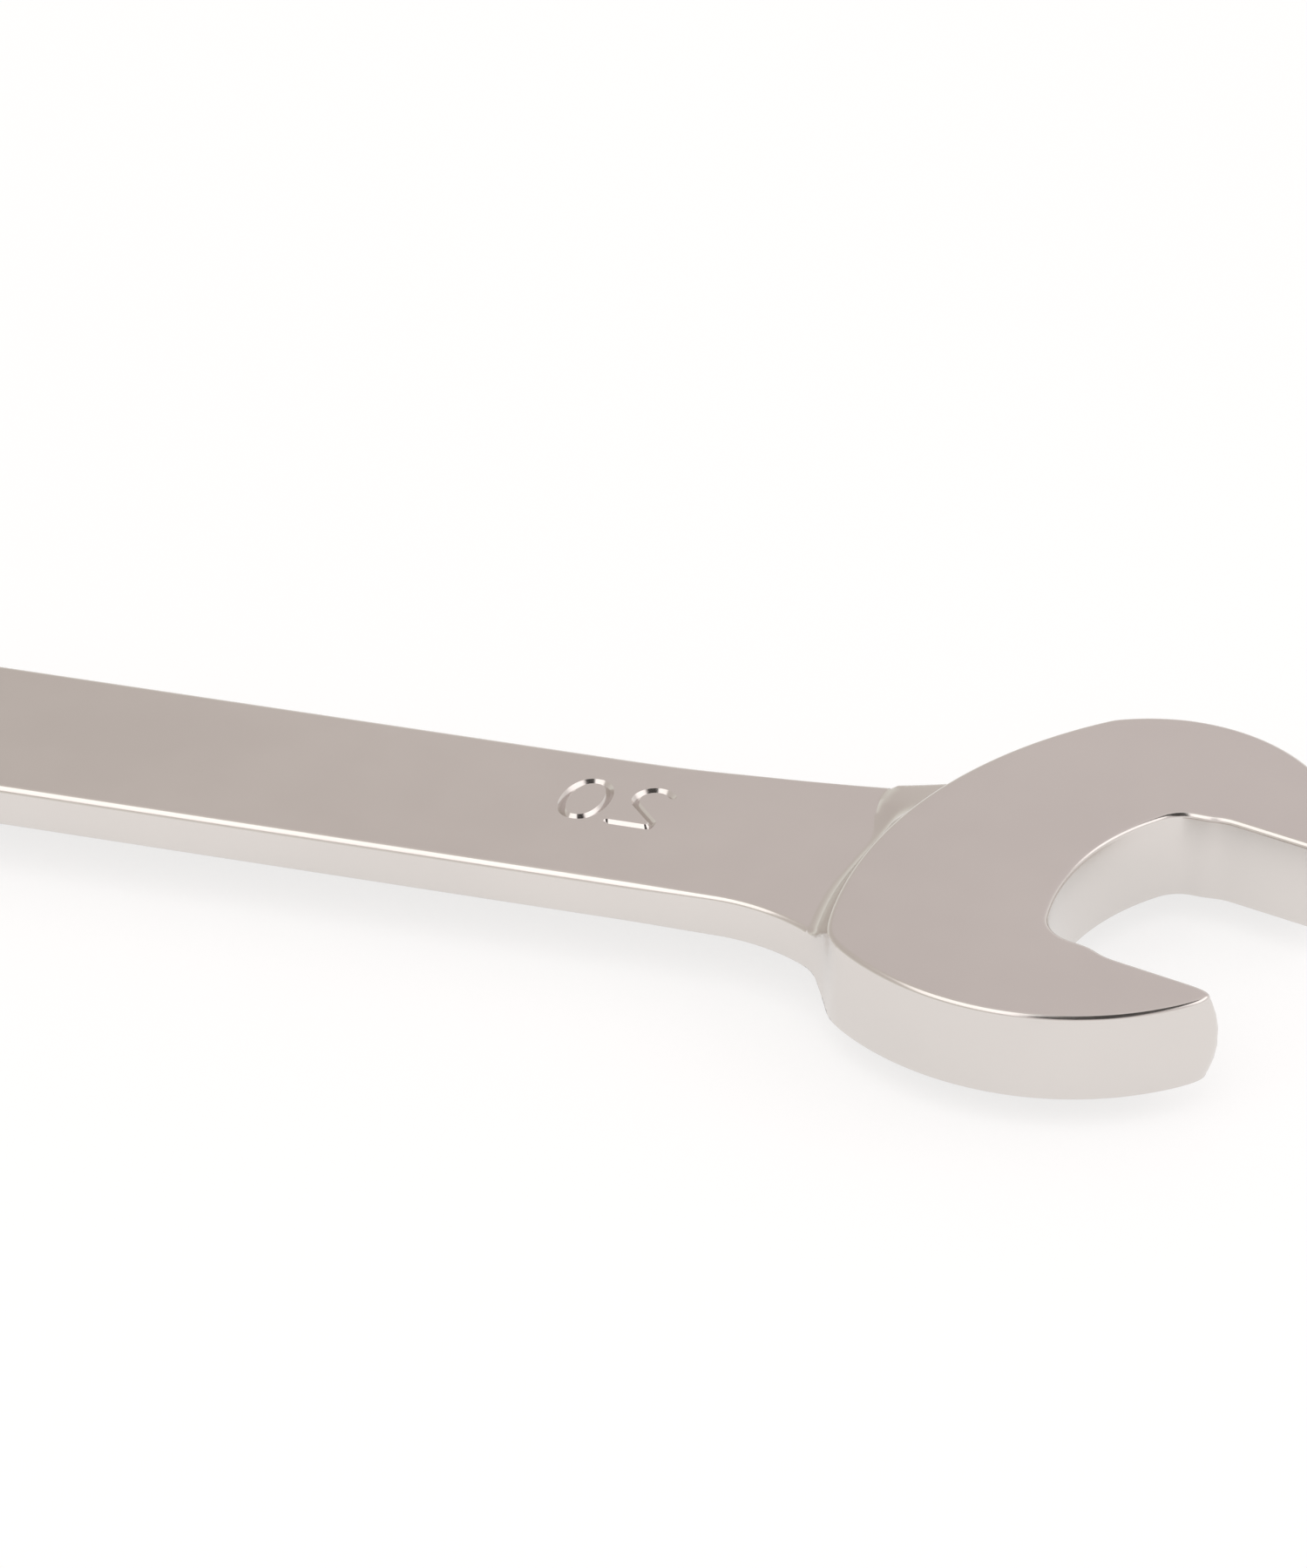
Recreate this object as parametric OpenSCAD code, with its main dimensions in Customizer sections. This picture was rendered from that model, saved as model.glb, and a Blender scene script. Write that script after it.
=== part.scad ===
// Combination wrench: an open jaw on one end of a flat shank, and a reversible
// ratcheting ring on the other. The ring's axis is the origin, +X points along the
// shank to the open jaw, and z = 0 is the mid plane of both heads.

/* [Size] */
// Width across the flats of the nut
flats = 20; // [19.5:0.1:20.5]
// Extra width of the jaw and the socket over the nut
flats_play = 0.2; // [0.1:0.05:0.3]
// Distance from the ring's axis to the middle of a nut held in the jaw
centres = 262; // [200:1:300]

/* [Open jaw] */
// Angle between the jaw and the shank
jaw_angle = 15; // [14:0.5:16]
// Offset of the held nut's middle from the shank's centre line
jaw_offset = 1.85; // [1.5:0.05:2.5]
// Thickness of the open head
head_t = 7.5; // [6.5:0.1:9]

/* [Shank] */
// Width of the shank
shank_w = 16.5; // [16:0.1:17]
// Thickness of the shank
shank_t = 3.6; // [3.2:0.1:4.5]
// Height of the engraved size mark
mark_h = 5.2; // [4.5:0.1:5.5]
// Depth of the engraved size mark
mark_depth = 0.25; // [0.15:0.05:0.4]

/* [Ring head] */
// Outer radius of the ring
ring_r = 19.5; // [19.3:0.1:20.5]
// Thickness of the ring
ring_t = 12.5; // [12.3:0.1:13.5]
// Number of teeth round the gear
teeth = 72; // [72]
// Radius of the gear over its teeth
gear_r = 15; // [15]
// Height of the toothed band
band_h = 6; // [5.8:0.1:6]

/* [Reversing lever] */
// Distance from the ring's axis to the lever's axis
lever_x = 26.5; // [26.5]
// Half of the lever's swing
lever_swing = 30; // [28:1:30]
// Length of the thumb tab, from the lever's axis
tab_len = 15; // [12:0.5:18]
// Half of the pawl's rocking angle
pawl_rock = 4.5; // [4.5]

/* [Hidden] */
$fn = 96;

eps = 0.01;
far = 60;
run_gap = 0.05;
jaw_half = (flats + flats_play) / 2;

// open head, in the jaw's own frame: x out of the jaw, origin at the nut's middle
near_lobe = [-12.4, -0.1];
near_lobe_r = 20.8;
far_lobe = [-8.4, 8.1];
far_lobe_r = 13.6;
lobe_join = 16.3;
back_arc = [10.9, -4.6];
back_arc_r = 36.4;
throat_arc = [7.4, -1.5];
throat_arc_r = 18.2;
throat_half = 9.55;
throat_corner_r = 3;
corner_lap = 0.3;
flat_start = -4.6;

// neck between the shank and the open head, x measured from the nut's middle
near_fillet = [-36.6, -22.85];
near_fillet_r = 14.6;
near_end = -23.7;
shank_end = -20;
far_flare_x = -48;
far_flare_r = 160;
far_flare_h = 3;

// web between the ring and the shank
web_fillet_r = 60;
web_fillet_x = sqrt(pow(ring_r + web_fillet_r, 2) - pow(shank_w / 2 + web_fillet_r, 2));
web_full_x = 33;
web_thin_x = 58;

// size mark
mark_x = centres - 49.1;
mark_y = 1.95;
mark_pitch = 4.4;
mark_w = 3.2;
stroke = 0.5;
mark_lap = 0.05;
mark_cut = 1;
arc_end = 50;
arc_dip = 0.3;

// gear
root_r = gear_r - 0.65;
pitch = 360 / teeth;
tip_half = 0.35;
root_half = 0.5;
journal_r = 13.9;
gear_half = ring_t / 2 - 0.2;
socket_point_r = jaw_half / cos(30);
socket_notch_r = jaw_half / cos(15);
lead_in = 0.6;
lead_out = 0.3;
band_gap = 0.1;
bore_r = gear_r + 0.2;

// drag ring, washer and snap ring, by height
drag_z = 4.7;
drag_section = 0.42;
drag_groove = 0.85;
drag_groove_h = 1;
drag_mid = 0.4;
washer_t = 0.25;
washer_top = -band_h / 2 - band_gap;
washer_in_r = journal_r + 0.15;
snap_t = 0.95;
snap_top = washer_top - washer_t - run_gap;
snap_in_r = journal_r + 0.25;
snap_out_r = bore_r + 0.55;
snap_gap = 24;

// pawl and its pocket
pivot_x = 18.6;
pin_r = 1;
pin_low = -ring_t / 2 + 0.25;
pin_high = 4.6;
pawl_h = 5.4;
pocket_h = 5.7;
pawl_in_r = gear_r + 0.2;
pawl_out_r = 18.2;
pawl_first = 13;
pawl_last = 31;
pawl_tip_r = root_r + 0.1;
pawl_tip_half = 0.6;
pawl_base_half = 1.9;
pawl_root = 0.4;
pawl_teeth = [17.5, 22.5, 27.5];
block_half = 4;
block_relief = 0.1;
block_x = [15.6, 22.2];
pocket_r = 20.1;
pocket_half_angle = 35;
passage_half = 4.7;

// lever
stem_r = 3.5;
stem_hole_r = stem_r + run_gap;
stem_low = -5.95;
lever_base = ring_t / 2 + 0.1;
lever_t = 1.8;
disc_r = 5.5;
tab_w = [8.4, 6.4];
rib_count = 5;
rib_w = 0.6;
rib_h = 0.5;
rib_first = 3;
rib_pitch = 1.4;
rib_inset = 0.8;
seal_z = 4.95;
seal_section = 0.44;
seal_mid = 0.42;
seal_groove_r = 2.6;
seal_groove_h = 1.1;
clip_low = -5.55;
clip_t = 0.6;
clip_out_r = 4.7;
clip_in_r = 2.65;
clip_gap = 60;
clip_recess_r = 5;
clip_recess_top = -4.85;

// plunger and its spring, along the stem's cross hole
cross_r = 1.3;
cross_back = 2;
nose_r = 1.25;
nose_tip = 5.6;
nose_back = 1.2;
nose_bore_r = 0.95;
nose_wall = 0.9;
coil_r = 0.68;
wire_r = 0.17;
turns = 6;
wire_sides = 8;
turn_steps = 16;

// ---- placing ----
module in_jaw() translate([centres, -jaw_offset]) rotate(-jaw_angle) children();
module in_lever() translate([lever_x, 0, 0]) rotate(-lever_swing) children();
module about_pivot(angle)
    translate([pivot_x, 0]) rotate(angle) translate([-pivot_x, 0]) children();
module slab(t) translate([0, 0, -t / 2]) linear_extrude(t) children();
module tube(r_out, r_in, low, h) difference() {
    translate([0, 0, low]) cylinder(r = r_out, h = h);
    translate([0, 0, low - eps]) cylinder(r = r_in, h = h + 2 * eps);
}
module wedge(half_angle, reach)
    polygon([[0, 0], reach * [cos(half_angle), -sin(half_angle)],
        reach * [cos(half_angle), sin(half_angle)]]);

// ---- open head ----
module head_outline() intersection() {
    union() {
        intersection() {
            translate(near_lobe) circle(near_lobe_r);
            translate([-far, lobe_join - 2 * far]) square(2 * far);
        }
        translate(far_lobe) circle(far_lobe_r);
    }
    translate(back_arc) circle(back_arc_r);
}

module throat() {
    reach = throat_arc_r - throat_corner_r;
    corner_y = throat_half - throat_corner_r;
    function corner_x(side) = throat_arc[0]
        - sqrt(pow(reach, 2) - pow(side * corner_y - throat_arc[1], 2));
    function touch(side) = throat_arc[1]
        + (side * corner_y - throat_arc[1]) * throat_arc_r / reach;
    intersection() {
        translate(throat_arc) circle(throat_arc_r);
        translate([-throat_arc_r, touch(-1) + corner_lap])
            square([throat_arc_r, touch(1) - touch(-1) - 2 * corner_lap]);
    }
    for (side = [-1, 1]) {
        translate([corner_x(side), side * corner_y]) circle(throat_corner_r);
        translate([corner_x(side), min(0, side * throat_half)])
            square([-corner_x(side), throat_half]);
    }
    translate([flat_start, -jaw_half]) square([far, 2 * jaw_half]);
}

// ---- flat shank, with its flares into the open head ----
module shank_outline() {
    half = shank_w / 2;
    translate([ring_r, -half]) square([centres + shank_end - ring_r, 2 * half]);
    difference() {
        translate([centres + near_fillet[0], -2 * half])
            square([near_end - near_fillet[0], half + eps]);
        translate([centres + near_fillet[0], near_fillet[1]]) circle(near_fillet_r);
    }
    difference() {
        translate([centres + far_flare_x, half - eps])
            square([shank_end - far_flare_x, far_flare_h]);
        translate([centres + far_flare_x, half + far_flare_r]) circle(far_flare_r, $fn = 360);
    }
}

// ---- web from the ring into the shank ----
module web_outline() difference() {
    translate([ring_r / 2, -ring_r]) square([web_fillet_x - ring_r / 2, 2 * ring_r]);
    for (side = [-1, 1])
        translate([web_fillet_x, side * (shank_w / 2 + web_fillet_r)])
            circle(web_fillet_r, $fn = 240);
}

module web_profile() polygon([[0, -ring_t / 2], [web_full_x, -ring_t / 2],
    [web_thin_x, -shank_t / 2], [web_thin_x, shank_t / 2],
    [web_full_x, ring_t / 2], [0, ring_t / 2]]);

module forging() {
    slab(head_t) in_jaw() head_outline();
    slab(shank_t) shank_outline();
    slab(ring_t) circle(ring_r);
    intersection() {
        slab(ring_t) {
            web_outline();
            translate([web_fillet_x - eps, -shank_w / 2])
                square([web_thin_x - web_fillet_x, shank_w]);
        }
        rotate([90, 0, 0]) slab(2 * ring_r) web_profile();
    }
}

// ---- size mark: a nought and a reversed two ----
module nought() difference() {
    r = mark_w / 2;
    span = mark_h - mark_w;
    union() {
        for (side = [-1, 1]) translate([0, side * span / 2]) circle(r);
        translate([-r, -span / 2]) square([mark_w, span]);
    }
    for (side = [-1, 1]) translate([0, side * span / 2]) circle(r - stroke);
    translate([-r + stroke, -span / 2]) square([mark_w - 2 * stroke, span]);
}

module reversed_two() {
    r = mark_w / 2;
    top = mark_h / 2 - r;
    translate([0, top]) difference() {
        circle(r);
        circle(r - stroke);
        rotate(-arc_end) translate([0, -far]) square(2 * far);
        translate([-far, -2 * far - arc_dip]) square([2 * far, 2 * far]);
    }
}

module two_bars() {
    r = mark_w / 2;
    low = -mark_h / 2;
    join = mark_h / 2 - r;
    polygon([[mark_lap - r, join], [mark_lap - r + stroke, join], [r + mark_lap, low + 2 * mark_lap],
        [r + mark_lap, low - mark_lap], [r - stroke - 2 * mark_lap, low - mark_lap]]);
    translate([-r, low]) square([2 * r, stroke]);
}

module engraved() translate([mark_x, mark_y, shank_t / 2 - mark_depth])
    linear_extrude(mark_cut) children();

module size_mark() {
    engraved() nought();
    engraved() translate([mark_pitch, 0]) reversed_two();
    engraved() translate([mark_pitch, 0]) two_bars();
}

// ---- cavities of the ring head ----
module pocket() slab(pocket_h) {
    intersection() {
        circle(pocket_r);
        wedge(pocket_half_angle, far);
    }
    translate([block_x[0], -passage_half]) square([lever_x - block_x[0], 2 * passage_half]);
}

module gear_seat() {
    translate([0, 0, -ring_t]) cylinder(r = bore_r, h = ring_t + band_h / 2 + band_gap);
    cylinder(r = journal_r + run_gap, h = ring_t);
    translate([0, 0, snap_top - snap_t - run_gap])
        cylinder(r = snap_out_r + run_gap, h = snap_t + 2 * run_gap);
}

module lever_seat() translate([lever_x, 0, 0]) {
    translate([0, 0, -ring_t]) cylinder(r = stem_hole_r, h = 2 * ring_t);
    translate([0, 0, clip_recess_top - ring_t]) cylinder(r = clip_recess_r, h = ring_t);
}

module wrench_body() color("#c3bab4") difference() {
    forging();
    slab(2 * head_t) in_jaw() throat();
    size_mark();
    gear_seat();
    pocket();
    lever_seat();
    translate([pivot_x, 0, -ring_t]) cylinder(r = pin_r, h = ring_t + pin_high);
}

// ---- gear ----
function polar(r, a) = r * [cos(a), sin(a)];

module gear_outline() polygon([for (k = [0:teeth - 1]) each [
    polar(gear_r, k * pitch - tip_half), polar(gear_r, k * pitch + tip_half),
    polar(root_r, (k + 0.5) * pitch - root_half),
    polar(root_r, (k + 0.5) * pitch + root_half)]]);

module socket_outline() polygon([for (k = [0:11]) each [
    polar(socket_point_r, 30 * k), polar(socket_notch_r, 30 * k + 15)]]);

module ratchet_gear() color("#8f8c88") difference() {
    union() {
        slab(band_h) gear_outline();
        slab(2 * gear_half) circle(journal_r);
    }
    slab(2 * ring_t) socket_outline();
    for (side = [0, 1]) mirror([0, 0, side])
        translate([0, 0, gear_half - lead_in])
            cylinder(r1 = socket_notch_r - eps, r2 = socket_point_r + lead_out, h = lead_in + eps);
    tube(journal_r + 1, journal_r - drag_groove, drag_z - drag_groove_h / 2, drag_groove_h);
}

module gear_drag_ring() color("#2b2b2b") translate([0, 0, drag_z])
    rotate_extrude() translate([journal_r - drag_mid, 0]) circle(drag_section, $fn = 24);

module thrust_washer() color("#b8b4ae")
    tube(bore_r - 0.1, washer_in_r, washer_top - washer_t, washer_t);

module gear_retaining_ring() color("#55524f") difference() {
    tube(snap_out_r, snap_in_r, snap_top - snap_t, snap_t);
    rotate(180) slab(ring_t) wedge(snap_gap / 2, far);
}

// ---- pawl: each end is drawn in mesh, then turned back to the middle position ----
module pawl_tooth(a) slab(pawl_h) polygon([
    polar(pawl_tip_r, a - pawl_tip_half), polar(pawl_tip_r, a + pawl_tip_half),
    polar(gear_r, a + pawl_base_half), polar(pawl_in_r + pawl_root, a + pawl_base_half),
    polar(pawl_in_r + pawl_root, a - pawl_base_half), polar(gear_r, a - pawl_base_half)]);

module pawl_end(side) about_pivot(-side * pawl_rock) {
    for (a = pawl_teeth) pawl_tooth(side * a);
    intersection() {
        tube(pawl_out_r, pawl_in_r, -pawl_h / 2, pawl_h);
        slab(2 * pawl_h) rotate(side * (pawl_first + pawl_last) / 2)
            wedge((pawl_last - pawl_first) / 2, far);
    }
}

module pawl() color("#77736f") about_pivot(pawl_rock) difference() {
    union() {
        for (side = [-1, 1]) pawl_end(side);
        slab(pawl_h - 2 * block_relief) translate([block_x[0], -block_half])
            square([block_x[1] - block_x[0], 2 * block_half]);
    }
    translate([pivot_x, 0, -pawl_h]) cylinder(r = pin_r + run_gap, h = 2 * pawl_h);
    translate([lever_x, 0, -pawl_h]) cylinder(r = nose_tip + run_gap, h = 2 * pawl_h);
}

module pawl_pin() color("#a7a29c") translate([pivot_x, 0, pin_low])
    cylinder(r = pin_r, h = pin_high - pin_low - 0.1);

// ---- reversing lever ----
module tab_outline() {
    circle(disc_r);
    polygon([[0, -tab_w[0] / 2], [tab_len - tab_w[1] / 2, -tab_w[1] / 2],
        [tab_len - tab_w[1] / 2, tab_w[1] / 2], [0, tab_w[0] / 2]]);
    translate([tab_len - tab_w[1] / 2, 0]) circle(tab_w[1] / 2);
}

module reversing_lever() color("#9b9691") in_lever() difference() {
    union() {
        translate([0, 0, stem_low]) cylinder(r = stem_r, h = lever_base - stem_low + eps);
        translate([0, 0, lever_base]) linear_extrude(lever_t) tab_outline();
        for (k = [0:rib_count - 1])
            translate([tab_len - rib_first - rib_pitch * k, rib_inset - tab_w[1] / 2,
                lever_base + lever_t - eps])
                cube([rib_w, tab_w[1] - 2 * rib_inset, rib_h]);
    }
    tube(stem_r + 1, seal_groove_r, seal_z - seal_groove_h / 2, seal_groove_h);
    tube(stem_r + 1, clip_in_r - run_gap, clip_low - run_gap, clip_t + 2 * run_gap);
    translate([cross_back, 0, 0]) rotate([0, -90, 0]) cylinder(r = cross_r, h = far);
}

module lever_seal() color("#262626") in_lever() translate([0, 0, seal_z])
    rotate_extrude() translate([stem_r - seal_mid, 0]) circle(seal_section, $fn = 24);

module lever_clip() color("#5a5754") in_lever() difference() {
    tube(clip_out_r, clip_in_r, clip_low, clip_t);
    slab(ring_t) wedge(clip_gap / 2, far);
}

module plunger() color("#aaa59e") in_lever() rotate([0, -90, 0]) difference() {
    union() {
        translate([0, 0, nose_back]) cylinder(r = nose_r, h = nose_tip - nose_r - nose_back);
        translate([0, 0, nose_tip - nose_r]) sphere(nose_r);
    }
    translate([0, 0, nose_back - eps])
        cylinder(r = nose_bore_r, h = nose_tip - nose_wall - nose_back);
}

// a helix of round wire along +z, with its ends squared off by the flat seats
module coil(low, high) {
    count = turns * turn_steps;
    rise = high - low - 2 * wire_r;
    function centre(i) = [coil_r * cos(360 * i / turn_steps),
        coil_r * sin(360 * i / turn_steps), low + wire_r + rise * i / count];
    function ring(i) = let (a = 360 * i / turn_steps) [for (k = [0:wire_sides - 1])
        let (b = 360 * k / wire_sides)
            centre(i) + wire_r * [cos(b) * cos(a), cos(b) * sin(a), sin(b)]];
    function at(i, k) = i * wire_sides + k % wire_sides;
    polyhedron([for (i = [0:count]) each ring(i)], concat(
        [[for (k = [0:wire_sides - 1]) k]],
        [for (i = [0:count - 1], k = [0:wire_sides - 1])
            each [[at(i, k), at(i + 1, k), at(i + 1, k + 1)],
                [at(i, k), at(i + 1, k + 1), at(i, k + 1)]]],
        [[for (k = [wire_sides - 1:-1:0]) at(count, k)]]));
}

module plunger_spring() color("#6b6864") in_lever() rotate([0, -90, 0])
    coil(-cross_back, nose_tip - nose_wall);

wrench_body();
ratchet_gear();
gear_drag_ring();
thrust_washer();
gear_retaining_ring();
pawl();
pawl_pin();
reversing_lever();
lever_seal();
lever_clip();
plunger();
plunger_spring();
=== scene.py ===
"""Combination wrench, 20 mm: the forged body, the ratchet in its ring end, and a plain studio.

The wrench's lengths are millimetres in the CAD frame until a mesh is made: the ring's axis is the
origin, +X points along the shank to the open jaw, and z = 0 is the mid plane of both heads. The
stage is in metres.
"""
import math

import bpy
import numpy as np
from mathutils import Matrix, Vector
from mathutils.geometry import delaunay_2d_cdt

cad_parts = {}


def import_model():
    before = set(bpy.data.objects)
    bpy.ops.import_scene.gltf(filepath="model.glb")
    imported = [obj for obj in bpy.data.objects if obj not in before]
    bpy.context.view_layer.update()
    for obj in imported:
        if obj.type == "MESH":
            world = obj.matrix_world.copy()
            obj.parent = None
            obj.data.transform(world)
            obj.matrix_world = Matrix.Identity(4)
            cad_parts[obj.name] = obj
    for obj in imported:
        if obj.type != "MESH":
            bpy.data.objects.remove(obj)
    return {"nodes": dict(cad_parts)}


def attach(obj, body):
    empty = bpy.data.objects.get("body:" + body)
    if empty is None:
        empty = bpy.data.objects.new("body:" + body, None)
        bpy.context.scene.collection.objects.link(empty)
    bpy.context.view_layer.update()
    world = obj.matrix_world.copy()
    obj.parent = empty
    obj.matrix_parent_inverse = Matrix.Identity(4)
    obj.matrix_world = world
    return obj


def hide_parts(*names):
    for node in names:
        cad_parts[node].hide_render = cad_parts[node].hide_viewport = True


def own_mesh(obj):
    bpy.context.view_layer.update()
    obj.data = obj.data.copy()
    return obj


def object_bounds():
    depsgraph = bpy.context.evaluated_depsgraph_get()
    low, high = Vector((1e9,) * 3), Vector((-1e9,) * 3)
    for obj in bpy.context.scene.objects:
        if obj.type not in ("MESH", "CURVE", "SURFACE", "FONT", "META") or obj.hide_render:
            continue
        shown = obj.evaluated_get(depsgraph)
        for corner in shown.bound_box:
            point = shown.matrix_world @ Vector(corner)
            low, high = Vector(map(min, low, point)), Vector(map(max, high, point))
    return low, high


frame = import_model()
CAD_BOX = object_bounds()
MM = 0.001

# ---- sizes that the CAD model also has ----
CENTRES = 262.0
JAW_ANGLE = 15.0
JAW_OFFSET = 1.85
JAW_HALF = 10.1
HEAD_HALF_T = 3.75
SHANK_HALF_W = 8.25
SHANK_HALF_T = 1.8
RING_R = 19.5
RING_HALF_T = 6.25
WEB_FILLET_R = 60.0
WEB_FULL_X, WEB_THIN_X = 33.0, 58.0
GEAR_R = 15.0
GEAR_ROOT_R = 14.35
TEETH = 72
JOURNAL_R = 13.9
GEAR_HALF = 6.05
BAND_HALF = 3.0
SOCKET_POINT_R = JAW_HALF / math.cos(math.radians(30))
SOCKET_NOTCH_R = JAW_HALF / math.cos(math.radians(15))
LEVER_X = 26.5
LEVER_REST = -30.0

STEP = 0.45
FINE_STEP = 0.2
LOOP_STEP = 0.3
CHUNK = 2000


# ---- plane curves ----
def arc(centre, r, start, end, step=STEP):
    """Points on a circle from one angle to another, in degrees."""
    n = max(2, math.ceil(abs(math.radians(end - start)) * r / step))
    t = np.radians(np.linspace(start, end, n + 1))
    return np.c_[centre[0] + r * np.cos(t), centre[1] + r * np.sin(t)]


def line(a, b, step=STEP):
    a, b = np.array(a, float), np.array(b, float)
    n = max(1, math.ceil(np.linalg.norm(b - a) / step))
    return a + np.linspace(0, 1, n + 1)[:, None] * (b - a)


def chained(*parts):
    """One run of points through the parts, without repeats."""
    points = np.vstack(parts)
    keep = np.r_[True, np.linalg.norm(np.diff(points, axis=0), axis=1) > 1e-3]
    return points[keep]


def resampled(loop, step):
    closed = np.vstack([loop, loop[:1]])
    along = np.r_[0, np.cumsum(np.linalg.norm(np.diff(closed, axis=0), axis=1))]
    n = int(round(along[-1] / step))
    at = np.linspace(0, along[-1], n, endpoint=False)
    return np.c_[np.interp(at, along, closed[:, 0]), np.interp(at, along, closed[:, 1])]


def softened(loop, centre, reach, rounds):
    """A closed loop with its corner near centre eased into a curve."""
    away = np.linalg.norm(loop - np.array(centre), axis=1) / reach
    weight = np.clip(1.6 * (1 - away), 0, 1)[:, None]
    for _ in range(rounds):
        mean = (np.roll(loop, 1, 0) + np.roll(loop, -1, 0)) / 2
        loop = loop + weight * (mean - loop) * 0.5
    return loop


def outward(loop):
    """The outward normal at each point of a loop that runs anticlockwise."""
    along = np.roll(loop, -1, 0) - np.roll(loop, 1, 0)
    along /= np.linalg.norm(along, axis=1)[:, None]
    return np.c_[along[:, 1], -along[:, 0]]


def inside(points, loop):
    x, y = points[:, 0][:, None], points[:, 1][:, None]
    a, b = loop, np.roll(loop, -1, 0)
    hit = (a[:, 1] > y) != (b[:, 1] > y)
    rise = np.where(np.abs(b[:, 1] - a[:, 1]) < 1e-12, 1e-12, b[:, 1] - a[:, 1])
    cross = a[:, 0] + (y - a[:, 1]) * (b[:, 0] - a[:, 0]) / rise
    return (np.sum(hit & (x < cross), axis=1) % 2) == 1


def distance(points, chain, closed=True):
    """Distance from each point to a chain of straight pieces."""
    a = chain if closed else chain[:-1]
    b = np.roll(chain, -1, 0) if closed else chain[1:]
    span = b - a
    length = np.maximum(np.sum(span * span, axis=1), 1e-12)
    out = np.empty(len(points))
    for i in range(0, len(points), CHUNK):
        p = points[i:i + CHUNK, None, :] - a
        t = np.clip(np.sum(p * span, axis=2) / length, 0, 1)
        gaps = np.sum((p - t[:, :, None] * span) ** 2, axis=2)
        out[i:i + CHUNK] = np.sqrt(np.min(gaps, axis=1))
    return out


def depth(points, loop):
    """How far each point is inside a loop, less than zero outside it."""
    return np.where(inside(points, loop), 1, -1) * distance(points, loop)


def united(a, b):
    """The outline round two overlapping anticlockwise loops that cross twice."""
    runs = []
    for own, other in ((a, b), (b, a)):
        out = ~inside(own, other)
        first = next(i for i in range(len(out)) if out[i] and not out[i - 1])
        turned = np.roll(own, -first, 0)
        runs.append(turned[np.roll(out, -first)])
    return np.vstack(runs)


# ---- the body's outlines ----
def from_jaw(points):
    """Points from the jaw's frame, with x out of the jaw and the nut's middle at 0, to the CAD's."""
    c, s = math.cos(math.radians(JAW_ANGLE)), math.sin(math.radians(JAW_ANGLE))
    p = np.atleast_2d(np.array(points, float))
    return np.c_[CENTRES + c * p[:, 0] + s * p[:, 1], -JAW_OFFSET - s * p[:, 0] + c * p[:, 1]]


NEAR_LOBE, NEAR_LOBE_R = np.array([-12.4, -0.1]), 20.8
FAR_LOBE, FAR_LOBE_R = np.array([-8.4, 8.1]), 13.6
BACK_ARC, BACK_ARC_R = np.array([10.9, -4.6]), 36.4
LOBE_JOIN = 16.3
THROAT_ARC, THROAT_ARC_R = np.array([7.4, -1.5]), 18.2
THROAT_HALF, THROAT_CORNER_R = 9.55, 3.0
FLAT_START, FLAT_EASE = -4.6, 0.55
NEAR_SHOULDER, FAR_SHOULDER = np.array([-22.9, -18.0]), np.array([-15.5, 20.5])
TIP = np.array([5.84, -JAW_HALF])
HEAD_MIDDLE = np.array([-9.0, 1.0])
BACK_POINTS = 320
FLAT_STEP = np.array([FLAT_START, (JAW_HALF + THROAT_HALF) / 2])


def reach(origin, way, centre, r):
    """How far a ray from inside a circle runs until it leaves the circle."""
    rel = origin - centre
    along = rel @ way
    return -along + math.sqrt(along * along - rel @ rel + r * r)


def head_radius(origin, way):
    near = reach(origin, way, NEAR_LOBE, NEAR_LOBE_R)
    if (origin + near * way)[1] > LOBE_JOIN:
        near = (LOBE_JOIN - origin[1]) / way[1]
    far = reach(origin, way, FAR_LOBE, FAR_LOBE_R)
    return min(max(near, far), reach(origin, way, BACK_ARC, BACK_ARC_R))


def throat_corner(side):
    """The middle of one of the throat's two corner roundings, and its bearing from the throat arc."""
    y = side * (THROAT_HALF - THROAT_CORNER_R)
    x = THROAT_ARC[0] - math.sqrt((THROAT_ARC_R - THROAT_CORNER_R) ** 2 - (y - THROAT_ARC[1]) ** 2)
    middle = np.array([x, y])
    return middle, math.degrees(math.atan2(*(middle - THROAT_ARC)[::-1])) % 360


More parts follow.
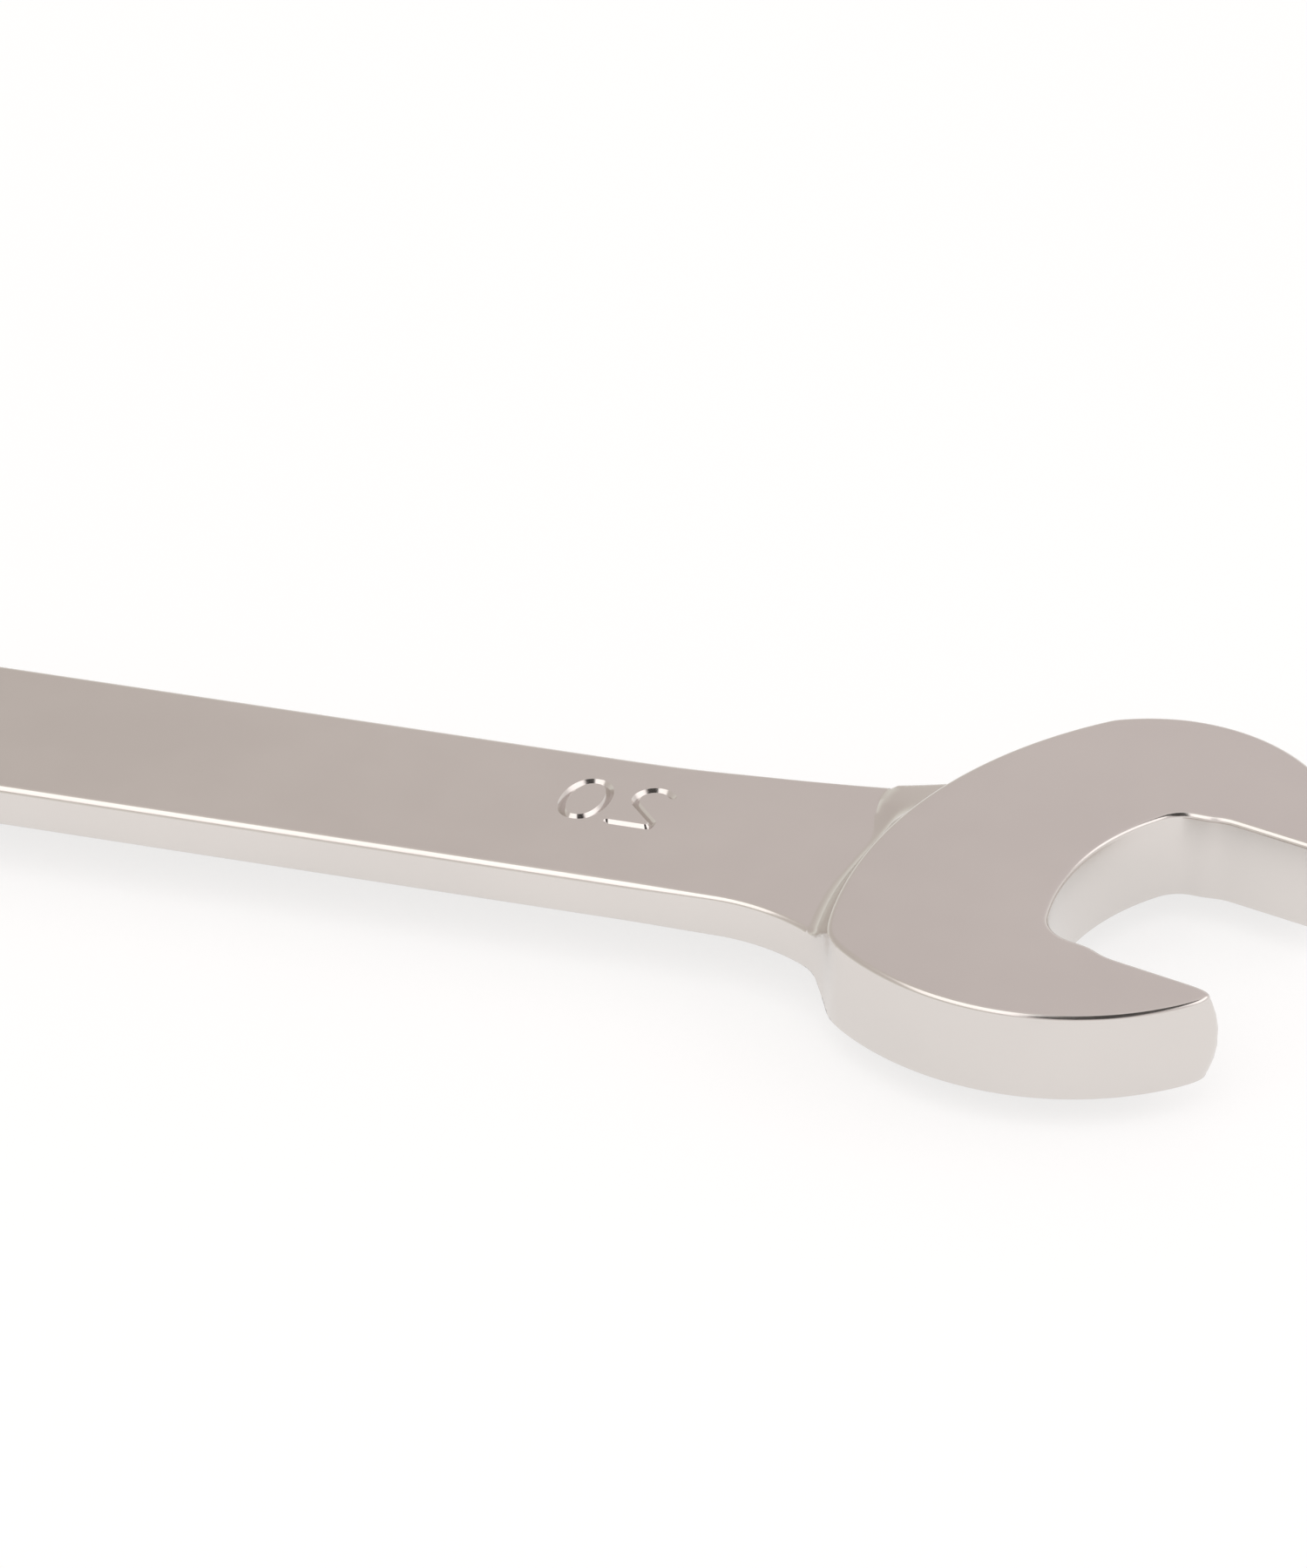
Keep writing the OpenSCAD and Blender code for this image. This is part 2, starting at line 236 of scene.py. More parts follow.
def head_loop():
    """The open head's outline, anticlockwise: round the back between the tips, and along the throat."""
    near_x = NEAR_LOBE[0] + math.sqrt(NEAR_LOBE_R ** 2 - (JAW_HALF + NEAR_LOBE[1]) ** 2)
    far_x = FAR_LOBE[0] + math.sqrt(FAR_LOBE_R ** 2 - (JAW_HALF - FAR_LOBE[1]) ** 2)
    near_tip, far_tip = np.array([near_x, -JAW_HALF]), np.array([far_x, JAW_HALF])
    start = math.atan2(*(near_tip - HEAD_MIDDLE)[::-1])
    end = math.atan2(*(far_tip - HEAD_MIDDLE)[::-1])
    turns = np.linspace(start, end - 2 * math.pi, BACK_POINTS)
    ways = [np.array([math.cos(a), math.sin(a)]) for a in turns]
    back = np.array([HEAD_MIDDLE + head_radius(HEAD_MIDDLE, w) * w for w in ways])[::-1]
    low, low_bearing = throat_corner(-1)
    high, high_bearing = throat_corner(1)
    flat, deep = FLAT_START + FLAT_EASE, FLAT_START - FLAT_EASE
    throat = chained(
        line(near_tip, [flat, -JAW_HALF]),
        line([flat, -JAW_HALF], [deep, -THROAT_HALF], FINE_STEP),
        line([deep, -THROAT_HALF], [low[0], -THROAT_HALF]),
        arc(low, THROAT_CORNER_R, 270, low_bearing),
        arc(THROAT_ARC, THROAT_ARC_R, low_bearing, high_bearing),
        arc(high, THROAT_CORNER_R, high_bearing, 90),
        line([high[0], THROAT_HALF], [deep, THROAT_HALF]),
        line([deep, THROAT_HALF], [flat, JAW_HALF], FINE_STEP),
        line([flat, JAW_HALF], far_tip))
    loop = resampled(np.vstack([back, throat[1:-1]]), LOOP_STEP)
    after = np.roll(loop, -1, 0)
    if np.sum(loop[:, 0] * after[:, 1] - after[:, 0] * loop[:, 1]) < 0:
        loop = loop[::-1]
    corners = ((near_tip, 3.4, 45), (far_tip, 1.6, 5), (NEAR_SHOULDER, 3.5, 30),
               (FAR_SHOULDER, 3.0, 16), (FLAT_STEP, 2.4, 8), (FLAT_STEP * [1, -1], 2.4, 8))
    for place, size, rounds in corners:
        loop = softened(loop, place, size, rounds)
    return from_jaw(loop)


NEAR_FILLET_X, NEAR_FILLET_R = CENTRES - 36.6, 14.6
NEAR_FILLET_END = 30
FAR_FLARE_X, FAR_FLARE_R = CENTRES - 48.0, 160.0
BAR_END = CENTRES - 19.0


def bar_loop():
    """The ring, the web and the flared shank in one outline, anticlockwise, ending inside the head."""
    half = SHANK_HALF_W
    away = RING_R + WEB_FILLET_R
    touch = math.degrees(math.acos(math.sqrt(away ** 2 - (half + WEB_FILLET_R) ** 2) / away))
    web_x = away * math.cos(math.radians(touch))
    web_y = half + WEB_FILLET_R
    far_angle = math.degrees(math.asin((BAR_END - FAR_FLARE_X) / FAR_FLARE_R)) - 90
    far_flare = arc([FAR_FLARE_X, half + FAR_FLARE_R], FAR_FLARE_R, far_angle, -90)
    near_fillet = arc([NEAR_FILLET_X, -half - NEAR_FILLET_R], NEAR_FILLET_R, 90, NEAR_FILLET_END)
    return chained(
        arc([0, 0], RING_R, touch, 360 - touch),
        arc([web_x, -web_y], WEB_FILLET_R, 180 - touch, 90),
        line([web_x, -half], [NEAR_FILLET_X, -half]),
        near_fillet,
        line(near_fillet[-1], [BAR_END, near_fillet[-1][1]]),
        line([BAR_END, near_fillet[-1][1]], far_flare[0]),
        far_flare,
        line([FAR_FLARE_X, half], [web_x, half]),
        arc([web_x, web_y], WEB_FILLET_R, 270, 180 + touch))


# ---- the body's height over its mid plane ----
EDGE_R = 0.42
SHANK_EDGE_R = 0.62
RING_EDGE_R = 0.9
STEP_RUN = 1.4
STEP_FAR, STEP_NEAR = 3.0, 0.2
STEP_WIDENS = 1.0
FAR_SPREAD, NEAR_SPREAD = 8.5, 5.0
FACET_FROM, FACET_SPREAD = 3.0, 4.0
STEP_AT, STEP_RISE = (0, 0.25, 0.45, 1), (0, 0.05, 0.17, 1)
FACET_AT, FACET_RISE = (0, 0.1, 0.85, 1), (0, 0.19, 0.47, 1)
STEP_ROWS = (0.06, 0.15, 0.3, 0.45, 0.55, 0.65, 0.75, 0.9, 1, 1.04)
NECK_FROM, NECK_TO = CENTRES - 44.0, CENTRES - 36.0
NECK_SOFT_REACH, NECK_SOFT_ROUNDS = 3.0, 24
CROWN = 0.07
CROWN_MOST = 0.22
CALM_REACH = 5.0
TIP_CROWN, TIP_CROWN_REACH = 0.6, 2.4
GROOVE_DEPTH = 0.36
GROOVE_HALF_W = 0.31
MARK_X, MARK_Y = CENTRES - 49.1, 1.95
MARK_PITCH = 4.4
MARK_LEAN = 0.12


def ease(t):
    t = np.clip(t, 0, 1)
    return t * t * (3 - 2 * t)


def past_web(x):
    """0 at the ring's end of the web, 1 at the shank's."""
    return ease((x - WEB_FULL_X) / (WEB_THIN_X - WEB_FULL_X))


def web_height(x):
    return RING_HALF_T + (SHANK_HALF_T - RING_HALF_T) * past_web(x)


def edge_radius(x):
    """The rounding's radius: most on the ring, less on the shank, least on the head."""
    at_neck = ease((x - NECK_FROM) / (NECK_TO - NECK_FROM))
    from_ring = (SHANK_EDGE_R - RING_EDGE_R) * past_web(x)
    return RING_EDGE_R + from_ring + (EDGE_R - SHANK_EDGE_R) * at_neck


def rounding(d, r):
    """How far an edge of radius r has dropped, d inside the outline."""
    return r - np.sqrt(np.maximum(0, r * r - (r - np.clip(d, 0, r)) ** 2))


def step_run(points):
    """Length of the ramp up to the head. It widens to both sides of the neck, most to the far one."""
    y = points[:, 1]
    far = STEP_FAR * ease((y - STEP_WIDENS) / FAR_SPREAD)
    near = STEP_NEAR * ease((-y - STEP_WIDENS) / NEAR_SPREAD)
    return STEP_RUN + far + near


def heights(points, hull, head):
    """Height of the top: the head with its rounded edge, and the bar, swept up where it meets it."""
    in_head = depth(points, head)
    in_hull = np.maximum(0, depth(points, hull))
    bar = web_height(points[:, 0]) - rounding(in_hull, edge_radius(points[:, 0]))
    t = np.clip(1 + in_head / step_run(points), 0, 1)
    step = np.interp(t, STEP_AT, STEP_RISE)
    facet = np.interp(t, FACET_AT, FACET_RISE)
    sweep = step + (facet - step) * ease((points[:, 1] - FACET_FROM) / FACET_SPREAD)
    foot = HEAD_HALF_T - EDGE_R
    outside = bar + (foot - bar) * sweep
    return np.where(in_head >= 0, HEAD_HALF_T - rounding(in_head, EDGE_R), outside)


def mark_strokes():
    """The size mark's centre lines: a nought and a reversed two."""
    half_w, half_h, squareness = 1.6, 2.5, 0.85
    nought = [(half_w * math.copysign(abs(math.cos(t)) ** squareness, math.cos(t)),
               half_h * math.sin(t)) for t in np.linspace(0, 2 * math.pi, 61)]
    bow_x, bow_w, bow_h = 0.55, 1.4, 1.35
    bow = [(bow_x + bow_w * math.cos(t), half_h - bow_h + bow_h * math.sin(t))
           for t in np.radians(np.linspace(35, 195, 18))]
    foot, heel = 1.5, -1.75
    two = bow + [(-bow_x, 0.3), (foot, -1.75), (foot, -half_h), (heel, -half_h)]
    place = np.array([MARK_X, MARK_Y])
    lean = np.array([[1, 0], [MARK_LEAN, 1]])
    return [np.array(nought) @ lean + place, np.array(two) @ lean + place + [MARK_PITCH, 0]]


def groove(points, strokes):
    near = np.min([distance(points, s, closed=False) for s in strokes], axis=0)
    return GROOVE_DEPTH * np.clip(1 - near / GROOVE_HALF_W, 0, 1)


class Cloud:
    """Points of the plan. A new one is kept if no earlier one is within the gap given."""

    cell = 0.25

    def __init__(self, points):
        self.kept = [tuple(p) for p in points]
        self.grid = {}
        for p in self.kept:
            self.grid.setdefault(self.key(p), []).append(p)

    def key(self, p):
        return (math.floor(p[0] / self.cell), math.floor(p[1] / self.cell))

    def add(self, points, gap):
        for p in map(tuple, points):
            i, j = self.key(p)
            cells = ((i + di, j + dj) for di in (-1, 0, 1) for dj in (-1, 0, 1))
            near = (q for cell in cells for q in self.grid.get(cell, ()))
            if all((p[0] - q[0]) ** 2 + (p[1] - q[1]) ** 2 > gap * gap for q in near):
                self.kept.append(p)
                self.grid.setdefault((i, j), []).append(p)


ROUNDING_TURNS = (14, 28, 42, 56, 70, 84)
PAST_ROUNDING = 1.12
ROW_CLEAR, STROKE_CLEAR = 0.985, 0.97
EDGE_GAP, STEP_GAP, LINE_GAP, GRID_GAP = 0.012, 0.03, 0.05, 0.24
RIM_CLEAR, HEAD_CLEAR = 0.02, 0.08
STROKE_STEP = 0.16
STROKE_BANK = 1.2
CAP_POINTS = 12
WEB_PITCH, WEB_MARGIN = 1.3, 3
PLAN_PITCH = 2.6
GRID_FROM_RIM, GRID_FROM_HEAD = 1.25, 1.0


def rows_beside(loop, offsets, side):
    """Copies of a loop at each offset, inward for side -1, that keep clear of its own corners."""
    normals = outward(loop)
    for offset in offsets:
        d = offset if np.ndim(offset) else np.full(len(loop), offset)
        moved = loop + side * normals * d[:, None]
        yield moved[distance(moved, loop) > d * ROW_CLEAR]


def body_plan():
    """The hull outline, the head outline, and the two places where the head meets the bar."""
    head = head_loop()
    bar = bar_loop()
    hull = united(bar, head)
    on_head = distance(hull, head) < 1e-6
    meets = hull[on_head != np.roll(on_head, 1)]
    for place in meets:
        hull = softened(hull, place, NECK_SOFT_REACH, NECK_SOFT_ROUNDS)
    return hull, head, meets


def step_offsets(head):
    """For each row of the ramp, how far it lies from the head at every point of the outline."""
    away = outward(head)
    offsets = []
    for share in STEP_ROWS:
        offset = share * step_run(head)
        for _ in range(6):
            offset = share * step_run(head + away * offset[:, None])
        offsets.append(offset)
    return offsets


def clear_of(strokes, points, gap):
    """Those of the points that are at least the gap, less a little, from every stroke."""
    near = np.min([distance(points, s, closed=False) for s in strokes], axis=0)
    return points[near > gap * STROKE_CLEAR]


def add_strokes(cloud, strokes):
    """Points along each stroke's centre line, its banks and its round ends."""
    turns = np.linspace(0, 2 * math.pi, CAP_POINTS, endpoint=False)
    ways = [np.array([math.cos(t), math.sin(t)]) for t in turns]
    for stroke in strokes:
        fine = chained(*[line(a, b, STROKE_STEP) for a, b in zip(stroke[:-1], stroke[1:])])
        cloud.add(fine, LINE_GAP)
        along = np.gradient(fine, axis=0)
        along /= np.linalg.norm(along, axis=1)[:, None]
        across = np.c_[along[:, 1], -along[:, 0]]
        for w in (GROOVE_HALF_W, GROOVE_HALF_W * STROKE_BANK):
            for side in (-1, 1):
                cloud.add(clear_of(strokes, fine + side * w * across, w), LINE_GAP)
            caps = np.array([end + w * way for end in (stroke[0], stroke[-1]) for way in ways])
            cloud.add(clear_of(strokes, caps, w), LINE_GAP)


def add_grid(cloud, hull, head):
    """Staggered points over the flat parts, closer together along the web."""
    lo, hi = hull.min(0), hull.max(0)
    web = (WEB_PITCH, WEB_FULL_X - WEB_MARGIN, WEB_THIN_X + WEB_MARGIN)
    for pitch, first, last in (web, (PLAN_PITCH, lo[0], hi[0])):
        xs, ys = np.meshgrid(np.arange(max(lo[0], first), last, pitch),
                             np.arange(lo[1], hi[1], pitch))
        xs = xs + (np.arange(xs.shape[0])[:, None] % 2) * pitch / 2
        grid = np.c_[xs.ravel(), ys.ravel()]
        from_rim, from_head = depth(grid, hull), np.abs(distance(grid, head))
        cloud.add(grid[(from_rim > GRID_FROM_RIM) & (from_head > GRID_FROM_HEAD)], GRID_GAP)


def plan_points(hull, head, strokes):
    """The plan's points: the rim first, then rows down each rounding, the ramp, the mark and a grid."""
    share = 1 - np.cos(np.radians(ROUNDING_TURNS))
    cloud = Cloud(hull)
    r = edge_radius(hull[:, 0])
    for row in rows_beside(hull, [r * s for s in share] + [r * PAST_ROUNDING], -1):
        cloud.add(row[inside(row, hull)], EDGE_GAP)
    cloud.add(head[depth(head, hull) > HEAD_CLEAR], LINE_GAP)
    for row in rows_beside(head, list(EDGE_R * share) + [EDGE_R * PAST_ROUNDING], -1):
        cloud.add(row[depth(row, hull) > RIM_CLEAR], EDGE_GAP)
    for row in rows_beside(head, step_offsets(head), 1):
        cloud.add(row[(depth(row, hull) > RIM_CLEAR) & ~inside(row, head)], STEP_GAP)
    if strokes:
        add_strokes(cloud, strokes)
    add_grid(cloud, hull, head)
    return np.array(cloud.kept)


def triangulated(points, rim):
    """Triangles over the points inside their rim: the points, the faces and the rim's own indices."""
    edges = [(i, (i + 1) % rim) for i in range(rim)]
    out = delaunay_2d_cdt([Vector(p) for p in points.tolist()], edges, [], 1, 1e-7)
    verts, faces, origins = out[0], out[2], out[3]
    place = {o: i for i, os in enumerate(origins) for o in os}
    plan = np.array([tuple(v) for v in verts])
    return plan, [tuple(f) for f in faces], [place[i] for i in range(rim)]


SIDE_ROWS = [0.86, 0.55, 0.2, -0.2, -0.55, -0.86]


def bump_at(points, place, size):
    """A value for each point that is 1 at a place and falls away over the size given."""
    return np.exp(-(np.linalg.norm(points - place, axis=1) / size) ** 2)


def body_mesh():
    """The forged body before its cavities are cut: top, bottom and crowned sides in one mesh."""
    hull, head, meets = body_plan()
    strokes = mark_strokes()
    rim = len(hull)
    verts, faces = [], []
    rims = {}
    for side, marks in ((1, strokes), (-1, None)):
        plan, triangles, edge = triangulated(plan_points(hull, head, marks), rim)
        z = heights(plan, hull, head)
        z[edge] = heights(hull, hull, head)
        if marks:
            z -= groove(plan, marks)
        first = len(verts)
        verts += [(p[0], p[1], side * h) for p, h in zip(plan, z)]
        faces += [tuple(first + i for i in (f if side > 0 else f[::-1])) for f in triangles]
        rims[side] = [first + i for i in edge]
    wall = heights(hull, hull, head)
    normals = outward(hull)
    calm = 1 - sum(bump_at(hull, place, CALM_REACH) for place in meets)
    tip = TIP_CROWN * bump_at(hull, from_jaw(TIP), TIP_CROWN_REACH)
    rows = [rims[1]]
    for share in SIDE_ROWS:
        bulge = (np.minimum(CROWN * wall, CROWN_MOST) * calm + tip) * (1 - share ** 2)
        ring = hull + normals * bulge[:, None]
        rows.append(list(range(len(verts), len(verts) + rim)))
        verts += [(p[0], p[1], h * share) for p, h in zip(ring, wall)]
    rows.append(rims[-1])
    for upper, lower in zip(rows[:-1], rows[1:]):
        after = [(i + 1) % rim for i in range(rim)]
        faces += [(upper[i], lower[i], lower[j], upper[j]) for i, j in enumerate(after)]
    return verts, faces


# ---- meshes ----
def mesh_object(name, verts, faces):
    mesh = bpy.data.meshes.new(name)
    mesh.from_pydata([tuple(c * MM for c in v) for v in verts], [], faces)
    mesh.validate()
    mesh.update()
    obj = bpy.data.objects.new(name, mesh)
    bpy.context.scene.collection.objects.link(obj)
    return obj


def stacked(rings, closed_tube=False):
    """Points and faces of rings joined in order, with both ends capped unless the tube closes."""
    n = len(rings[0])
    verts = [tuple(p) for ring in rings for p in ring]
    pairs = list(zip(range(len(rings) - 1), range(1, len(rings))))
    if closed_tube:
        pairs.append((len(rings) - 1, 0))
    faces = [(a * n + i, a * n + (i + 1) % n, b * n + (i + 1) % n, b * n + i)
             for a, b in pairs for i in range(n)]
    if not closed_tube:
        faces += [tuple(range(n))[::-1], tuple(range((len(rings) - 1) * n, len(rings) * n))]
    return verts, faces


def flipped(faces):
    return [f[::-1] for f in faces]


def lathe(profile, x, sides):
    """A solid turned round a vertical axis at x, from (radius, height) pairs that run upward."""
    t = np.linspace(0, 2 * math.pi, sides, endpoint=False)
    return stacked([np.c_[x + r * np.cos(t), r * np.sin(t), np.full(sides, z)] for r, z in profile])


def box_solid(lo, hi):
    return stacked([[(lo[0], lo[1], z), (hi[0], lo[1], z), (hi[0], hi[1], z), (lo[0], hi[1], z)]
                    for z in (lo[2], hi[2])])


def applied(obj):
    """The object's mesh with its modifiers worked in."""
    deps = bpy.context.evaluated_depsgraph_get()
    mesh = bpy.data.meshes.new_from_object(
        obj.evaluated_get(deps), preserve_all_data_layers=True, depsgraph=deps)
    obj.modifiers.clear()
    obj.data = mesh
    return obj


def combined(obj, verts, faces, how):
    """obj with another closed solid cut from it, or joined to it."""
    tool = mesh_object("tool", verts, faces)
    step = obj.modifiers.new("step", "BOOLEAN")
    step.operation, step.solver, step.object = how, "EXACT", tool
    applied(obj)
    bpy.data.objects.remove(tool)
    return obj


def cut(obj, solid):
    return combined(obj, *solid, "DIFFERENCE")


def joined(obj, solid):
    return combined(obj, *solid, "UNION")


def smoothed(obj, sharp=33):
    """Smooth shading. Edges sharper than the given angle stay crisp, and flat faces stay flat."""
    obj.data.shade_smooth()
    obj.data.set_sharp_from_angle(angle=math.radians(sharp))
    step = obj.modifiers.new("normals", "WEIGHTED_NORMAL")
    step.mode, step.weight, step.keep_sharp = "FACE_AREA", 50, True
    return applied(obj)


def finished(obj, body, node, material):
    """A piece in its material, riding on its body and standing for its CAD node."""
    obj.data.materials.clear()
    obj.data.materials.append(material)
    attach(obj, body)
    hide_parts(node)
    return obj


# ---- materials ----
def shader(name, colour, metallic, roughness):
    """A new material and its main shader, with the values that are even all over."""
    material = bpy.data.materials.new(name)
    material.use_nodes = True
    main = material.node_tree.nodes["Principled BSDF"]
    main.inputs["Base Color"].default_value = (*colour, 1)
    main.inputs["Metallic"].default_value = metallic
    main.inputs["Roughness"].default_value = roughness
    return material, material.node_tree, main


def noise(tree, scale, detail=3.0, stretch=(1, 1, 1)):
    """Noise in the object's own space. The scale is in waves a metre."""
    place = tree.nodes.new("ShaderNodeTexCoord")
    spread = tree.nodes.new("ShaderNodeMapping")
    spread.inputs["Scale"].default_value = stretch
    texture = tree.nodes.new("ShaderNodeTexNoise")
    texture.inputs["Scale"].default_value = scale
    texture.inputs["Detail"].default_value = detail
    tree.links.new(place.outputs["Object"], spread.inputs["Vector"])
    tree.links.new(spread.outputs["Vector"], texture.inputs["Vector"])
    return texture.outputs["Fac"]


def spread_over(tree, value, low, high):
    """A value from noise, mapped from its usual spread onto low to high."""
    node = tree.nodes.new("ShaderNodeMapRange")
    node.inputs["From Min"].default_value = 0.3
    node.inputs["From Max"].default_value = 0.7
    node.inputs["To Min"].default_value = low
    node.inputs["To Max"].default_value = high
    tree.links.new(value, node.inputs["Value"])
    return node.outputs["Result"]


def blended(tree, value, first, second):
    node = tree.nodes.new("ShaderNodeValToRGB")
    node.color_ramp.elements[0].position, node.color_ramp.elements[1].position = 0.35, 0.65
    node.color_ramp.elements[0].color = (*first, 1)
    node.color_ramp.elements[1].color = (*second, 1)
    tree.links.new(value, node.inputs["Fac"])
    return node.outputs["Color"]


def bumped(tree, main, value, distance_mm):
    node = tree.nodes.new("ShaderNodeBump")
    node.inputs["Strength"].default_value = 1.0
    node.inputs["Distance"].default_value = distance_mm * MM
    tree.links.new(value, node.inputs["Height"])
    tree.links.new(node.outputs["Normal"], main.inputs["Normal"])


COLOUR_WAVES, GLOSS_WAVES = 60, 240


def metal(name, colour, second, roughness, grain, bump):
    """A metal that varies a little. Grain is in waves a metre, and bump in millimetres."""
    material, tree, main = shader(name, colour, 1.0, sum(roughness) / 2)
    tints = blended(tree, noise(tree, COLOUR_WAVES, 4), colour, second)
    tree.links.new(tints, main.inputs["Base Color"])
    gloss = spread_over(tree, noise(tree, GLOSS_WAVES, 5), *roughness)
    tree.links.new(gloss, main.inputs["Roughness"])
    bumped(tree, main, noise(tree, grain, 2), bump)
    return material


def rubber():
    material, tree, main = shader("seal_rubber", (0.022, 0.022, 0.022), 0.0, 0.6)
    tree.links.new(blended(tree, noise(tree, 900, 3), (0.02, 0.02, 0.02), (0.035, 0.034, 0.033)),
                   main.inputs["Base Color"])
    bumped(tree, main, noise(tree, 4000, 2), 0.01)
    return material


FORGED = metal("forged_chrome", (0.695, 0.66, 0.633), (0.715, 0.68, 0.652),
               (0.17, 0.23), 5200, 0.0006)
GEAR_STEEL = metal("gear_steel", (0.46, 0.44, 0.42), (0.52, 0.50, 0.475),
                   (0.26, 0.36), 6500, 0.002)
LEVER_CHROME = metal("lever_chrome", (0.70, 0.67, 0.635), (0.74, 0.71, 0.67),
                     (0.22, 0.30), 5200, 0.001)
HARD_STEEL = metal("hardened_steel", (0.36, 0.345, 0.33), (0.43, 0.415, 0.395),
                   (0.28, 0.4), 5000, 0.002)
SPRING_STEEL = metal("spring_steel", (0.17, 0.165, 0.165), (0.24, 0.225, 0.22),
                     (0.3, 0.42), 6000, 0.002)
RUBBER = rubber()


# ---- the forged body and its cavities ----
# Profiles are (radius, height) pairs that run upward.
BELOW, ABOVE = -7, 7
BORE = [(15.65, BELOW), (15.65, -6.2), (15.2, -5.75), (15.2, -4.4), (15.8, -4.4), (15.8, -3.35),
        (15.2, -3.35), (15.2, 3.1), (13.95, 3.1), (13.95, 6.0), (14.2, 6.25), (14.2, ABOVE)]
STEM_HOLE = [(5.25, BELOW), (5.25, -6.25), (5.0, -6.0), (5.0, -4.85), (3.55, -4.85), (3.55, 6.05),
             (3.75, 6.25), (3.75, ABOVE)]
PIVOT_X = 18.6
PIVOT_HOLE = [(1.0, BELOW), (1.0, 4.6)]
POCKET_R, POCKET_START, POCKET_HALF_ANGLE, POCKET_HALF_T = 20.1, 12.0, 35, 2.85
CHANNEL_START, CHANNEL_HALF_W, CHANNEL_HALF_T = 15.6, 4.7, 2.84


def cavities():
    """The ring's bore, the lever's hole, the pawl's pocket, its channel to the lever, the pivot's hole."""
    yield lathe(BORE, 0, 192)
    yield lathe(STEM_HOLE, LEVER_X, 96)
    rim = arc([0, 0], POCKET_R, -POCKET_HALF_ANGLE, POCKET_HALF_ANGLE, 0.8)
    sector = np.vstack([[[POCKET_START, 0]], rim])
    yield stacked([np.c_[sector, np.full(len(sector), z)] for z in (-POCKET_HALF_T, POCKET_HALF_T)])
    yield box_solid((CHANNEL_START, -CHANNEL_HALF_W, -CHANNEL_HALF_T),
                    (LEVER_X, CHANNEL_HALF_W, CHANNEL_HALF_T))
    yield lathe(PIVOT_HOLE, PIVOT_X, 32)


def wrench_body():
    obj = mesh_object("wrench_body_forging", *body_mesh())
    for cavity in cavities():
        cut(obj, cavity)
    return finished(smoothed(obj), "handle", "wrench_body", FORGED)


# ---- the gear ----
TOOTH_LAND, TOOTH_FALL_END = 0.35, 0.5
CHAMFER = 0.3
CHAMFER_MIDDLE = 0.09
DRAG_GROOVE = 0.85
DRAG_LOW, DRAG_TOP = 4.2, 5.2
MOUTH_R, FACE_R = SOCKET_POINT_R + 0.35, SOCKET_POINT_R + 0.5
MOUTH = [(0, 0.75), (0.25, 0.55), (0.6, 0.3), (0.85, 0.12)]


def socket_radius(angle):
    """The twelve-point socket's radius at an angle in degrees: straight flats, point to notch."""
    a = abs((angle + 15) % 30 - 15)
    p = np.array([SOCKET_POINT_R, 0])
    q = SOCKET_NOTCH_R * np.array([math.cos(math.radians(15)), math.sin(math.radians(15))])
    w = np.array([math.cos(math.radians(a)), math.sin(math.radians(a))])
    d = q - p
    return (p[0] * d[1] - p[1] * d[0]) / (w[0] * d[1] - w[1] * d[0])


def tooth_radius(angle):
    """The teeth's radius at an angle in degrees: a land, a slope and the root."""
    half = 180 / TEETH
    a = abs((angle + half) % (2 * half) - half)
    fall = (a - TOOTH_LAND) / (half - TOOTH_LAND - TOOTH_FALL_END)
    return GEAR_R + (GEAR_ROOT_R - GEAR_R) * min(1, max(0, fall))


def ratchet_gear():
    """The gear as one closed tube: from mid socket over the top, down the outside and back up."""
    angles = np.arange(0, 360, 0.5)
    ways = np.c_[np.cos(np.radians(angles)), np.sin(np.radians(angles))]
    socket = np.array([socket_radius(a) for a in angles])
    teeth = np.array([tooth_radius(a) for a in angles])

    def level(radius, z):
        return np.c_[ways * (np.ones(len(angles)) * radius)[:, None], np.full(len(angles), z)]

    def mouth(share):
        return socket + (MOUTH_R - socket) * share

    groove_r = JOURNAL_R - DRAG_GROOVE
    top = [level(socket, 0)]
    top += [level(mouth(share), GEAR_HALF - down) for share, down in MOUTH]
    top += [level(FACE_R, GEAR_HALF), level(JOURNAL_R - CHAMFER, GEAR_HALF)]
    top += [level(JOURNAL_R - CHAMFER_MIDDLE, GEAR_HALF - CHAMFER_MIDDLE)]
    top += [level(JOURNAL_R, z) for z in (GEAR_HALF - CHAMFER, DRAG_TOP)]
    top += [level(groove_r, DRAG_TOP), level(groove_r, DRAG_LOW)]
    top += [level(JOURNAL_R, DRAG_LOW), level(JOURNAL_R, BAND_HALF), level(teeth, BAND_HALF)]
    low = [level(teeth, -BAND_HALF), level(JOURNAL_R, -BAND_HALF)]
    low += [level(JOURNAL_R, CHAMFER - GEAR_HALF)]
    low += [level(JOURNAL_R - CHAMFER_MIDDLE, CHAMFER_MIDDLE - GEAR_HALF)]
    low += [level(JOURNAL_R - CHAMFER, -GEAR_HALF), level(FACE_R, -GEAR_HALF)]
    low += [level(mouth(share), down - GEAR_HALF) for share, down in MOUTH[::-1]]
    verts, faces = stacked(top + low, closed_tube=True)
    obj = mesh_object("ratchet_gear_ring", verts, flipped(faces))
    return finished(smoothed(obj, 28), "gear", "ratchet_gear", GEAR_STEEL)


